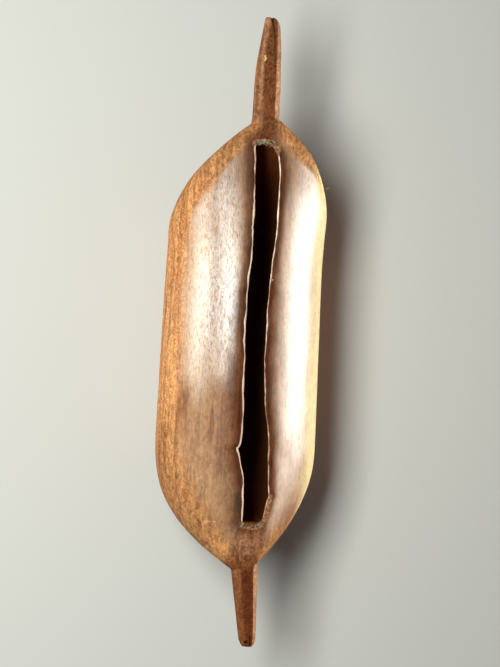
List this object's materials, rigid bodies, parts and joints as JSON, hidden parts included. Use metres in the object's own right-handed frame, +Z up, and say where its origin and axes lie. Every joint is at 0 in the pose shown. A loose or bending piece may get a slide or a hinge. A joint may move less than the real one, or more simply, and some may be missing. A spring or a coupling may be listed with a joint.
{
  "type": "slit drum",
  "caption": "Carved wooden slit drum: one hollowed log with a long slit along its top and a faceted grip at each end, lying on its belly.",
  "frame": {"origin": "on the surface that the drum lies on, at the middle of its bounding box seen from above", "axes": "+Y along the drum towards the longer grip, +X across it, +Z up through the slit"},
  "size_m": [0.196, 0.755, 0.1879],
  "materials": {
    "wood": "hand-rubbed hardwood, polished on the deck, tool-marked and duller on the flanks and grips, dark inside"
  },
  "bodies": {
    "root": {"drum": "wood"}
  },
  "joints": []
}
